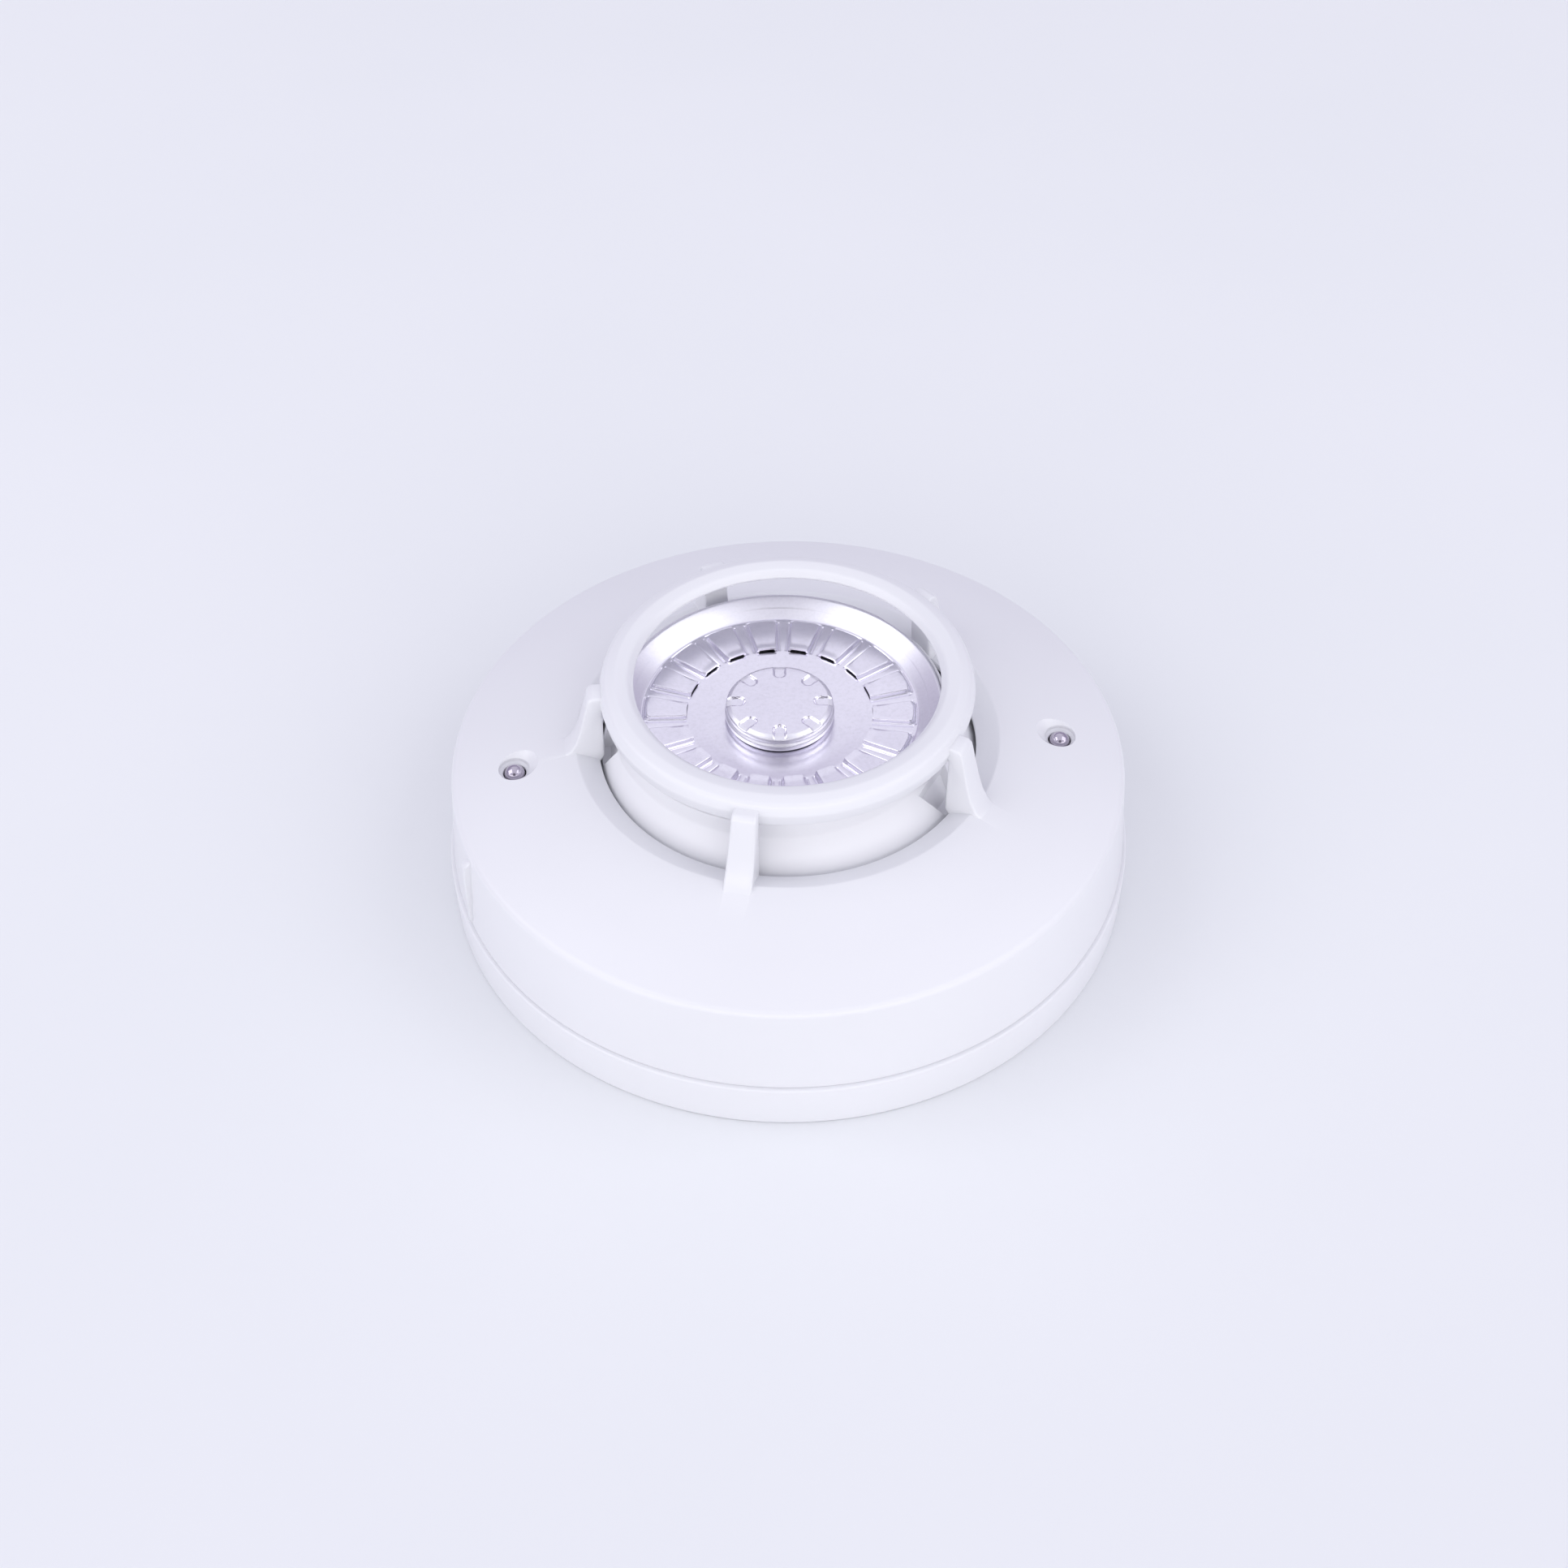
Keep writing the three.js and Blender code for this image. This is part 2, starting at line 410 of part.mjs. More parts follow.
// Parts on the board.
piece(head, 'filter_capacitor', turned([[0, 14.7], [2.5, 14.7], [2.5, 19.4], [2.2, 19.8], [0, 19.8]], 20).translate([34.0, -11.5, 0]), mat(0x262a38, 0.4, 0));
piece(head, 'latching_thyristor', block(31.5, 36.0, 10.0, 13.6, 14.7, 18.6), mat(0x1c1c20, 0.5, 0));
{
  const g = new THREE.CylinderGeometry(3.2, 3.2, 2.6, 24);
  g.rotateZ(Math.PI / 2);
  g.translate(-34, -12, 18.0);
  piece(head, 'surge_absorber', solid(g), mat(0x2a5a9a, 0.5, 0));
}
piece(head, 'control_chip', block(-36.5, -31.5, 9.5, 13.5, 14.7, 16.2), mat(0x1c1c20, 0.5, 0));
piece(head, 'bridge_rectifier', block(10, 15, -33.6, -29.4, 14.7, 17.2), mat(0x1c1c20, 0.5, 0));
piece(head, 'sense_resistor', block(-8, -1.6, 30.4, 33.6, 14.7, 15.5), mat(0x202226, 0.5, 0));

// ================================================================ head: rear housing and contacts

{
  const tub = turned([
    [0, REAR_Z], [44.2, REAR_Z], [44.2, 3.4], [45.8, 3.4], [45.8, REAR_Z - 0.3], [46.7, REAR_Z - 0.3], [46.7, REAR_Z + REAR_T], [46.2, REAR_Z + REAR_T], [46.2, 12.5], [44.0, 12.5], [44.0, REAR_Z + REAR_T], [0, REAR_Z + REAR_T],
  ], 40);
  const adds = LUG_ANGLES.map((a) => sector(45.2, 47.2, a - LUG_SPAN / 2, a + LUG_SPAN / 2, 3.4, 4.8));
  for (const a of [0, 60, 120, 180, 240, 300]) { const [x, y] = at(22, a); adds.push(disc(1.8, 10.5, 12.5, x, y, 12)); }
  const cuts = [];
  for (const a of SCREW_ANGLES) { const [x, y] = at(SCREW_R, a); cuts.push(disc(1.5, 9, 12, x, y, 14)); }
  for (const a of BLADE_ANGLES) { const [x, y] = at(32.5, a); cuts.push(disc(1.2, 9, 12, x, y, 12)); }
  piece(head, 'rear_housing', cut(tub.add(join(adds)), cuts), WHITE_IN());
}

BLADE_ANGLES.forEach((a, i) => {
  const blade = fin([[30.2, 8.7], [36.2, 8.7], [36.2, 6.3], [42.0, 6.3], [42.0, 6.9], [36.8, 6.9], [36.8, 9.3], [30.2, 9.3]], 5.0, a);
  const [x, y] = at(32.5, a);
  piece(head, `contact_blade_${i + 1}`, blade.subtract(disc(1.2, 8, 10, x, y, 12)), BRONZE());
});
BLADE_ANGLES.forEach((a, i) => {
  const [x, y] = at(32.5, a);
  piece(head, `blade_rivet_${i + 1}`, disc(0.9, 8.3, 15.0, x, y, 12).add(turned([[0, 7.9], [1.3, 7.9], [1.9, 8.25], [1.9, 8.5], [0, 8.5]], 14).translate([x, y, 0])), STEEL());
});
SCREW_ANGLES.forEach((a, i) => {
  const [x, y] = at(SCREW_R, a);
  const screw = disc(0.95, 9.0, 17.4, x, y, 12).add(turned([[0, 7.7], [2.0, 7.7], [2.7, 8.4], [2.7, 9.3], [0, 9.3]], 14).translate([x, y, 0]));
  piece(head, `cover_screw_${i + 1}`, cut(screw, [block(x - 1.5, x + 1.5, y - 0.3, y + 0.3, 7, 8.4), block(x - 0.3, x + 0.3, y - 1.5, y + 1.5, 7, 8.4)]), STEEL());
});

export default detector;
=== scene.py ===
import json
import math

import bmesh
import bpy
import numpy as np
from mathutils import Matrix, Vector


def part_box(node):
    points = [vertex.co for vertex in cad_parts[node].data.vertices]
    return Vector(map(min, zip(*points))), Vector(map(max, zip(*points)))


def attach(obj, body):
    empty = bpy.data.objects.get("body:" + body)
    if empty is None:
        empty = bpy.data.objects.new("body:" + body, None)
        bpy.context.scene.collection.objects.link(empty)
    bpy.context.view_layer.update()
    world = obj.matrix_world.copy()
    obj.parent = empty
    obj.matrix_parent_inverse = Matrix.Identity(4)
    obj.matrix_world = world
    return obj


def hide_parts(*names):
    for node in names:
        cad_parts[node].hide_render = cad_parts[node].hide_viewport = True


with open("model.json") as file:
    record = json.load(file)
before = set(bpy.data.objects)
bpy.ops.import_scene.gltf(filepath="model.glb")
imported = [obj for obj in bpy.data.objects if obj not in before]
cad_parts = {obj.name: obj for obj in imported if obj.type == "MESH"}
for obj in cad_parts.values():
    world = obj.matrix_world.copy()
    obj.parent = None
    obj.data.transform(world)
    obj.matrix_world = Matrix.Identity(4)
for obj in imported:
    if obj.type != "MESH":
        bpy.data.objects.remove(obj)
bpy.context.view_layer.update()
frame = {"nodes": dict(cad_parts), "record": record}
NODES = frame["nodes"]
MM = 0.001
scene = bpy.context.scene
scene.view_settings.view_transform = "Standard"
scene.view_settings.look = "None"
scene.view_settings.exposure = 0.0
scene.view_settings.gamma = 1.0


def rad(d):
    return d * math.pi / 180


# ------------------------------------------------------------------ camera
TURN = rad(4.36)      # the object lies turned by this much in the picture


def make_camera():
    dist, el = 0.309420382, rad(47.3638648)
    pan, pitch, roll = rad(-0.112200016), rad(-1.85091737), rad(-0.387505047)
    c = np.array([0.0, -dist * math.cos(el), dist * math.sin(el)])
    fwd = -c / np.linalg.norm(c)
    right = np.array([1.0, 0, 0])
    up = np.cross(right, fwd)
    rows = np.array([right, -up, fwd])
    ca, sa, cb, sb, cc, sc = math.cos(pan), math.sin(pan), math.cos(pitch), math.sin(pitch), math.cos(roll), math.sin(roll)
    ry = np.array([[ca, 0, -sa], [0, 1, 0], [sa, 0, ca]])
    rx = np.array([[1, 0, 0], [0, cb, -sb], [0, sb, cb]])
    rz = np.array([[cc, -sc, 0], [sc, cc, 0], [0, 0, 1]])
    rows = rz @ rx @ ry @ rows
    spin = np.array([[math.cos(TURN), math.sin(TURN), 0], [-math.sin(TURN), math.cos(TURN), 0], [0, 0, 1]])
    c = spin @ c
    rows = rows @ spin.T
    cam = bpy.data.cameras.new("view")
    cam.sensor_width = 36
    cam.lens = 2514.09645 * 36 / 1932
    cam.clip_start, cam.clip_end = 0.01, 20
    ob = bpy.data.objects.new("view", cam)
    m = Matrix.Identity(4)
    for i in range(3):
        m[i][0], m[i][1], m[i][2], m[i][3] = rows[0][i], -rows[1][i], -rows[2][i], c[i]
    ob.matrix_world = m
    scene.collection.objects.link(ob)
    scene.camera = ob


make_camera()


# ------------------------------------------------------------------ materials

class Nodes:
    def __init__(self, name):
        self.mat = bpy.data.materials.new(name)
        self.mat.use_nodes = True
        self.t = self.mat.node_tree
        self.t.nodes.clear()
        self.out = self.t.nodes.new("ShaderNodeOutputMaterial")
        self.p = self.t.nodes.new("ShaderNodeBsdfPrincipled")
        self.t.links.new(self.p.outputs[0], self.out.inputs[0])
        self.co = self.t.nodes.new("ShaderNodeTexCoord")

    def n(self, kind, **props):
        node = self.t.nodes.new(kind)
        for k, v in props.items():
            setattr(node, k, v)
        return node

    def link(self, a, b):
        self.t.links.new(a, b)

    def noise(self, scale, detail=3.0, rough=0.5, stretch=None, source=None):
        no = self.n("ShaderNodeTexNoise")
        no.inputs["Scale"].default_value = scale
        no.inputs["Detail"].default_value = detail
        no.inputs["Roughness"].default_value = rough
        src = source or self.co.outputs["Object"]
        if stretch:
            mp = self.n("ShaderNodeMapping")
            mp.inputs["Scale"].default_value = stretch
            self.link(src, mp.inputs["Vector"])
            src = mp.outputs[0]
        self.link(src, no.inputs["Vector"])
        return no.outputs["Fac"]

    def ramp(self, fac, stops, interpolation="LINEAR"):
        r = self.n("ShaderNodeValToRGB")
        r.color_ramp.interpolation = interpolation
        while len(r.color_ramp.elements) < len(stops):
            r.color_ramp.elements.new(0.5)
        for e, (pos, col) in zip(r.color_ramp.elements, stops):
            e.position = pos
            e.color = (*col, 1) if len(col) == 3 else col
        self.link(fac, r.inputs[0])
        return r.outputs[0]

    def remap(self, fac, lo, hi, a=0.0, b=1.0):
        m = self.n("ShaderNodeMapRange")
        m.inputs["From Min"].default_value = a
        m.inputs["From Max"].default_value = b
        m.inputs["To Min"].default_value = lo
        m.inputs["To Max"].default_value = hi
        self.link(fac, m.inputs["Value"])
        return m.outputs[0]

    def mix(self, fac, a, b, kind="MIX"):
        m = self.n("ShaderNodeMix", data_type="RGBA", blend_type=kind)
        if isinstance(fac, (int, float)):
            m.inputs[0].default_value = fac
        else:
            self.link(fac, m.inputs[0])
        for s, v in ((6, a), (7, b)):
            if isinstance(v, tuple):
                m.inputs[s].default_value = (*v, 1)
            else:
                self.link(v, m.inputs[s])
        return m.outputs[2]

    def math(self, op, a, b):
        m = self.n("ShaderNodeMath", operation=op)
        for s, v in ((0, a), (1, b)):
            if isinstance(v, (int, float)):
                m.inputs[s].default_value = v
            else:
                self.link(v, m.inputs[s])
        return m.outputs[0]

    def bump(self, height, strength, distance, prev=None):
        b = self.n("ShaderNodeBump")
        b.inputs["Strength"].default_value = strength
        b.inputs["Distance"].default_value = distance
        self.link(height, b.inputs["Height"])
        if prev is not None:
            self.link(prev, b.inputs["Normal"])
        return b.outputs[0]

    def set(self, **kw):
        names = {"color": "Base Color", "rough": "Roughness", "metal": "Metallic", "ior": "IOR", "spec": "Specular IOR Level",
                 "normal": "Normal", "coat": "Coat Weight", "coat_rough": "Coat Roughness", "sss": "Subsurface Weight",
                 "sheen": "Sheen Weight", "trans": "Transmission Weight", "aniso": "Anisotropic", "alpha": "Alpha"}
        for k, v in kw.items():
            s = self.p.inputs[names[k]]
            if isinstance(v, (int, float)):
                s.default_value = v
            elif isinstance(v, tuple):
                s.default_value = (*v, 1) if len(v) == 3 else v
            else:
                self.link(v, s)
        return self.mat


def plastic(name, light, dark, rough=(0.30, 0.42), grain=0.12, grain_mm=0.35, spec=0.5, sss=0.0):
    """Moulded plastic: slow colour drift, slightly uneven gloss with fine flow marks, and a faint orange-peel surface."""
    m = Nodes(name)
    broad = m.noise(38, 1, 0.4)
    flow = m.noise(240, 2, 0.5, stretch=(1, 1, 0.35))
    col = m.mix(m.remap(broad, 0, 1, 0.35, 0.65), dark, light)
    r = m.remap(m.mix(0.35, broad, flow), rough[0], rough[1], 0.3, 0.7)
    peel = m.bump(m.noise(300, 1), grain, 0.00001)
    return m.set(color=col, rough=r, spec=spec, normal=peel, sss=sss)


def metal(name, light, dark, rough=(0.2, 0.34), grain=0.25, scale=(1, 1, 1), freq=2600, spots=0.0, coat=0.0):
    m = Nodes(name)
    broad = m.noise(90, 4, 0.6)
    g = m.noise(freq, 4, 0.65, stretch=scale)
    col = m.mix(m.remap(broad, 0, 1, 0.3, 0.7), dark, light)
    col = m.mix(m.remap(g, 0, 0.25, 0.45, 0.75), col, tuple(0.8 * c for c in dark))
    if spots:
        s = m.noise(420, 5, 0.75)
        col = m.mix(m.remap(s, 0, spots, 0.6, 0.72), col, tuple(0.6 * c for c in dark))
    r = m.remap(m.mix(0.6, broad, g), rough[0], rough[1], 0.3, 0.7)
    return m.set(color=col, rough=r, metal=1.0, normal=m.bump(g, grain, 0.00001), coat=coat)


WHITE = plastic("moulded_white", (0.765, 0.770, 0.795), (0.755, 0.760, 0.784), rough=(0.288, 0.34), grain=0.2)
WHITE_IN = plastic("moulded_white_satin", (0.82, 0.822, 0.845), (0.805, 0.808, 0.83), rough=(0.30, 0.38), grain=0.2)
ALU = metal("pressed_aluminium", (0.93, 0.91, 0.985), (0.87, 0.85, 0.93), rough=(0.20, 0.262), grain=0.10, freq=1700)
ALU_BRIGHT = metal("polished_aluminium", (0.93, 0.92, 0.96), (0.88, 0.87, 0.92), rough=(0.32, 0.40), grain=0.08)
BRONZE = metal("tinned_bronze", (0.76, 0.62, 0.40), (0.62, 0.47, 0.27), rough=(0.29, 0.42), grain=0.2, scale=(1, 6, 1), spots=0.3)
STEEL = metal("zinc_steel", (0.66, 0.67, 0.70), (0.55, 0.56, 0.60), rough=(0.29, 0.42), grain=0.3, spots=0.4)
SILVER = metal("silver_plate", (0.86, 0.86, 0.86), (0.78, 0.77, 0.75), rough=(0.12, 0.24), grain=0.1)
BLACK = plastic("black_moulding", (0.022, 0.022, 0.026), (0.014, 0.014, 0.017), rough=(0.38, 0.55), grain=0.4, grain_mm=0.2)
RUBBER = plastic("seal_rubber", (0.20, 0.18, 0.22), (0.15, 0.135, 0.17), rough=(0.7, 0.85), grain=0.5, grain_mm=0.25)
IVORY = plastic("ivory_moulding", (0.72, 0.69, 0.60), (0.66, 0.62, 0.52), rough=(0.35, 0.5), grain=0.15, grain_mm=0.25)
BLUE = plastic("dipped_blue", (0.03, 0.10, 0.34), (0.02, 0.07, 0.25), rough=(0.18, 0.26), grain=0.1, grain_mm=0.5)


def board_material():
    m = Nodes("solder_mask")
    br = m.n("ShaderNodeTexBrick")
    br.inputs["Scale"].default_value = 260
    br.inputs["Mortar Size"].default_value = 0.03
    m.link(m.co.outputs["Object"], br.inputs["Vector"])
    tr = m.remap(br.outputs["Fac"], 0, 1)
    broad = m.noise(120, 3)
    base = m.mix(broad, (0.012, 0.085, 0.035), (0.02, 0.13, 0.055))
    col = m.mix(tr, base, (0.035, 0.19, 0.08))
    return m.set(color=col, rough=m.remap(broad, 0.29, 0.38), normal=m.bump(tr, 0.3, 0.00003), coat=0.3)


def lens_material():
    m = Nodes("lamp_lens_painted_reflection")
    f = m.noise(1500, 2)
    # painted reflection: the clear lens is coloured as a lavender metal, which stands in for the pale surroundings it
    # reflects; the gloss itself is rendered
    col = m.mix(m.remap(f, 0, 0.3, 0.4, 0.7), (0.50, 0.46, 0.54), (0.60, 0.56, 0.64))
    return m.set(color=col, rough=m.remap(f, 0.05, 0.09), metal=0.82, spec=0.8, coat=0.5, normal=m.bump(f, 0.02, 0.00001))


BOARD = board_material()
LENS = lens_material()


# ------------------------------------------------------------------ mesh helpers

def mesh_object(name, verts, faces, mats):
    me = bpy.data.meshes.new(name)
    me.from_pydata([tuple(v) for v in verts], [], [tuple(f) for f in faces])
    me.validate()
    for m in (mats if isinstance(mats, (list, tuple)) else [mats]):
        me.materials.append(m)
    ob = bpy.data.objects.new(name, me)
    scene.collection.objects.link(ob)
    return ob


def fillet(points, n=6):
    """Closed polygon of (r, z, radius) corners in mm -> list of (r, z) with the corners rounded."""
    out = []
    k = len(points)
    for i in range(k):
        p = Vector(points[i][:2])
        ra = points[i][2] if len(points[i]) > 2 else 0.0
        a = Vector(points[i - 1][:2])
        b = Vector(points[(i + 1) % k][:2])
        u, v = (a - p), (b - p)
        lu, lv = u.length, v.length
        if ra <= 0 or lu < 1e-6 or lv < 1e-6:
            out.append((p.x, p.y))
            continue
        u.normalize(); v.normalize()
        ang = math.acos(max(-1, min(1, u.dot(v))))
        if ang > math.pi - 0.02:
            out.append((p.x, p.y))
            continue
        d = min(ra / math.tan(ang / 2), 0.48 * lu, 0.48 * lv)
        r = d * math.tan(ang / 2)
        bis = (u + v).normalized()
        c = p + bis * (r / math.sin(ang / 2))
        s, e = p + u * d - c, p + v * d - c
        a0, a1 = math.atan2(s.y, s.x), math.atan2(e.y, e.x)
        da = (a1 - a0 + math.pi) % (2 * math.pi) - math.pi
        steps = max(2, int(round(n * abs(da) / (math.pi / 2))) + 1)
        for j in range(steps + 1):
            t = a0 + da * j / steps
            out.append((c.x + r * math.cos(t), c.y + r * math.sin(t)))
    return out


def densify(pts, step, closed=True):
    out = []
    k = len(pts)
    for i in range(k if closed else k - 1):
        a, b = pts[i], pts[(i + 1) % k]
        d = math.hypot(b[0] - a[0], b[1] - a[1])
        m = max(1, int(math.ceil(d / step)))
        for j in range(m):
            out.append((a[0] + (b[0] - a[0]) * j / m, a[1] + (b[1] - a[1]) * j / m))
    if not closed:
        out.append(pts[-1])
    return out


def lathe(name, pts, seg, mats, move=None, closed=True, centre=(0, 0), matfn=None):
    """Revolve (r, z) in mm. A closed profile off the axis makes a torus-like solid; an open one starts and ends on the axis."""
    verts, faces = [], []
    rings = []
    for r, z in pts:
        if r < 1e-6:
            rings.append([len(verts)])
            verts.append((0, 0, z))
        else:
            rings.append(list(range(len(verts), len(verts) + seg)))
            for j in range(seg):
                t = 2 * math.pi * j / seg
                verts.append((r * math.cos(t), r * math.sin(t), z))
    k = len(pts)
    for i in range(k if closed else k - 1):
        a, b = rings[i], rings[(i + 1) % k]
        if len(a) == 1 and len(b) == 1:
            continue
        for j in range(seg):
            j2 = (j + 1) % seg
            if len(a) == 1:
                faces.append((a[0], b[j2], b[j]))
            elif len(b) == 1:
                faces.append((a[j], a[j2], b[0]))
            else:
                faces.append((a[j], a[j2], b[j2], b[j]))
    v = np.array(verts, float)
    if move is not None:
        v = move(v)
    v[:, 0] += centre[0]
    v[:, 1] += centre[1]
    ob = mesh_object(name, v * MM, faces, mats)
    fix_normals(ob)
    return ob


def fix_normals(ob):
    bm = bmesh.new()
    bm.from_mesh(ob.data)
    bmesh.ops.recalc_face_normals(bm, faces=bm.faces)
    if bm.calc_volume(signed=True) < 0:
        bmesh.ops.reverse_faces(bm, faces=bm.faces)
    bm.to_mesh(ob.data)
    bm.free()


def prism(name, pts, w, angle, mats, bevel=0.0, seg=3, centre=(0, 0)):
    """Polygon of (r, z) in mm, w thick, standing along the ray at an angle in degrees; its edges bevelled."""
    bm = bmesh.new()
    n = len(pts)
    a = [bm.verts.new((r, -w / 2, z)) for r, z in pts]
    b = [bm.verts.new((r, w / 2, z)) for r, z in pts]
    bm.faces.new(a)
    bm.faces.new(list(reversed(b)))
    for i in range(n):
        bm.faces.new((a[i], b[i], b[(i + 1) % n], a[(i + 1) % n]))
    bmesh.ops.recalc_face_normals(bm, faces=bm.faces)
    if bevel > 0:
        edges = [e for e in bm.edges if e.calc_face_angle(0) > rad(20)]
        bmesh.ops.bevel(bm, geom=edges, offset=bevel, offset_type="OFFSET", segments=seg, profile=0.5, affect="EDGES", clamp_overlap=True)
    c, s = math.cos(rad(angle)), math.sin(rad(angle))
    for v in bm.verts:
        x, y, z = v.co
        v.co = ((x * c - y * s + centre[0]) * MM, (x * s + y * c + centre[1]) * MM, z * MM)
    me = bpy.data.meshes.new(name)
    bm.to_mesh(me)
    bm.free()
    for m in (mats if isinstance(mats, (list, tuple)) else [mats]):
        me.materials.append(m)
    ob = bpy.data.objects.new(name, me)
    scene.collection.objects.link(ob)
    return ob


def outline(name, pts, z0, z1, mats, bevel=0.0, seg=2):
    """Polygon of (x, y) in mm raised from z0 to z1."""
    bm = bmesh.new()
    n = len(pts)
    a = [bm.verts.new((x, y, z0)) for x, y in pts]
    b = [bm.verts.new((x, y, z1)) for x, y in pts]
    bm.faces.new(list(reversed(a)))
    bm.faces.new(b)
    for i in range(n):
        bm.faces.new((a[i], a[(i + 1) % n], b[(i + 1) % n], b[i]))
    bmesh.ops.recalc_face_normals(bm, faces=bm.faces)
    if bevel > 0:
        edges = [e for e in bm.edges if e.calc_face_angle(0) > rad(30)]
        bmesh.ops.bevel(bm, geom=edges, offset=bevel, offset_type="OFFSET", segments=seg, profile=0.5, affect="EDGES", clamp_overlap=True)
    for v in bm.verts:
        v.co *= MM
    me = bpy.data.meshes.new(name)
    bm.to_mesh(me)
    bm.free()
    me.materials.append(mats)
    ob = bpy.data.objects.new(name, me)
    scene.collection.objects.link(ob)
    return ob


def sector(r0, r1, a0, a1, n=8):
    pts = [(r1 * math.cos(rad(a0 + (a1 - a0) * i / n)), r1 * math.sin(rad(a0 + (a1 - a0) * i / n))) for i in range(n + 1)]
    pts += [(r0 * math.cos(rad(a0 + (a1 - a0) * i / n)), r0 * math.sin(rad(a0 + (a1 - a0) * i / n))) for i in range(n, -1, -1)]
    return pts


def slot_outline(r0, r1, w, angle, n=10):
    h = w / 2
    pts = [(r1 - h + h * math.cos(rad(-90 + 180 * i / n)), h * math.sin(rad(-90 + 180 * i / n))) for i in range(n + 1)]
    pts += [(r0 + h + h * math.cos(rad(90 + 180 * i / n)), h * math.sin(rad(90 + 180 * i / n))) for i in range(n + 1)]
    c, s = math.cos(rad(angle)), math.sin(rad(angle))
    return [(x * c - y * s, x * s + y * c) for x, y in pts]


def disc_outline(r, x=0, y=0, n=32):
    return [(x + r * math.cos(2 * math.pi * i / n), y + r * math.sin(2 * math.pi * i / n)) for i in range(n)]


def boolean(ob, others, op):
    """Applies one exact boolean with each of the other objects and removes them."""
    for o in others:
        m = ob.modifiers.new("b", "BOOLEAN")
        m.operation = op
        m.solver = "EXACT"
        m.object = o
    bpy.context.view_layer.update()
    dg = bpy.context.evaluated_depsgraph_get()
    me = bpy.data.meshes.new_from_object(ob.evaluated_get(dg))
    ob.modifiers.clear()
    old = ob.data
    ob.data = me
    bpy.data.meshes.remove(old)
    for o in others:
        d = o.data
        bpy.data.objects.remove(o)
        bpy.data.meshes.remove(d)
    return ob


def clean(ob, dist=0.000004):
    bm = bmesh.new()
    bm.from_mesh(ob.data)
    bmesh.ops.remove_doubles(bm, verts=bm.verts, dist=dist)
    bmesh.ops.dissolve_degenerate(bm, edges=bm.edges, dist=dist)
    bm.to_mesh(ob.data)
    bm.free()


def smooth(ob, angle=32):
    me = ob.data
    me.polygons.foreach_set("use_smooth", [True] * len(me.polygons))
    me.set_sharp_from_angle(angle=rad(angle))
    me.update()
    return ob


def finish_piece(ob, body, slot, *nodes):
    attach(ob, body)
    if nodes:
        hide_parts(*nodes)
    return ob


# ------------------------------------------------------------------ outer cover with its cage
POSTS = [181.5 + 72 * i for i in range(5)]
SHELL = [(49.4, 7.23, 0.12), (48.27, 21.13, 1.15), (41.5, 22.95, 30), (36.0, 24.25, 30), (30.2, 25.5, 0.7), (26.9, 24.0, 0.3),
         (27.0, 22.8, 0.3), (29.1, 23.0, 0.2), (30.8, 23.5, 0.5), (36.0, 22.2, 0), (41.5, 20.9, 0), (46.3, 19.6, 0.6), (47.3, 7.23, 0.2)]
RING = [(24.6, 32.65, 0.25), (25.8, 32.65, 0.45), (26.25, 34.7, 1.0), (25.7, 36.25, 1.1), (24.0, 36.72, 1.2), (22.2, 36.5, 1.0), (21.3, 35.55, 0.6), (21.75, 35.1, 0.25), (24.2, 34.9, 0.3), (24.6, 34.4, 0.3)]
POST = [(24.6, 33.7), (24.6, 35.5), (27.3, 35.5), (27.9, 35.1), (28.2, 34.0), (28.75, 31.8), (29.3, 29.6), (30.05, 27.4), (30.9, 25.9), (31.8, 25.1), (32.7, 24.75), (32.7, 24.0),
        (26.95, 23.3), (26.2, 24.6), (26.0, 33.2), (25.6, 33.7)]


LED_X, LED_Y = 39.1, -2.2


def flare(ob, angle, by=0.55):
    """One side of a standing rib leans outward toward its foot."""
    c, s = math.cos(rad(angle)), math.sin(rad(angle))
    for v in ob.data.vertices:
        x, y, z = v.co.x / MM, v.co.y / MM, v.co.z / MM
        if y * c - x * s < 0:
            k = by * min(max((34.0 - z) / 8.5, 0), 1) * MM
            v.co.x += k * s
            v.co.y -= k * c
    return ob


def make_cover():
    shell = lathe("outer_cover_shell", fillet(SHELL, 8), 256, WHITE)
    ring = lathe("ring", fillet(RING, 9), 192, WHITE)
    posts = [flare(prism("post", POST, 3.4, a, WHITE, bevel=0.32, seg=3), a) for a in POSTS]
    rib = prism("rib", [(47.6, 8.2), (49.75, 8.2), (49.55, 17.6), (49.3, 19.2), (48.4, 19.9), (47.2, 19.9)], 1.3, 200, WHITE, bevel=0.25, seg=2)
    bosses = []
    for a in (90, 210, 330):
        x, y = 40.5 * math.cos(rad(a)), 40.5 * math.sin(rad(a))
        bosses.append(outline("boss", disc_outline(3.0, x, y), 11.4, 21.4, WHITE, bevel=0.2))
    ob = boolean(shell, [ring] + posts + [rib] + bosses, "UNION")
    cuts = []
    for s in (1, -1):
        prof = fillet([(0, 25.5, 0), (4.6, 25.5, 0), (3.25, 24.0, 0), (2.62, 23.35, 0.2), (2.2, 22.95, 0.1), (2.12, 22.5, 0.15), (1.66, 22.2, 0.1), (1.64, 19.0, 0), (0, 19.0, 0)], 5)
        cuts.append(lathe("led_cut", prof, 64, WHITE, closed=False, centre=(s * LED_X, LED_Y)))
    for a in (90, 210, 330):
        x, y = 40.5 * math.cos(rad(a)), 40.5 * math.sin(rad(a))
        cuts.append(outline("bore", disc_outline(1.2, x, y, 20), 10, 18.4, WHITE))
    boolean(ob, cuts, "DIFFERENCE")
    clean(ob)
    smooth(ob, 30)
    finish_piece(ob, "head", "white_plastic", "outer_cover")
    return ob


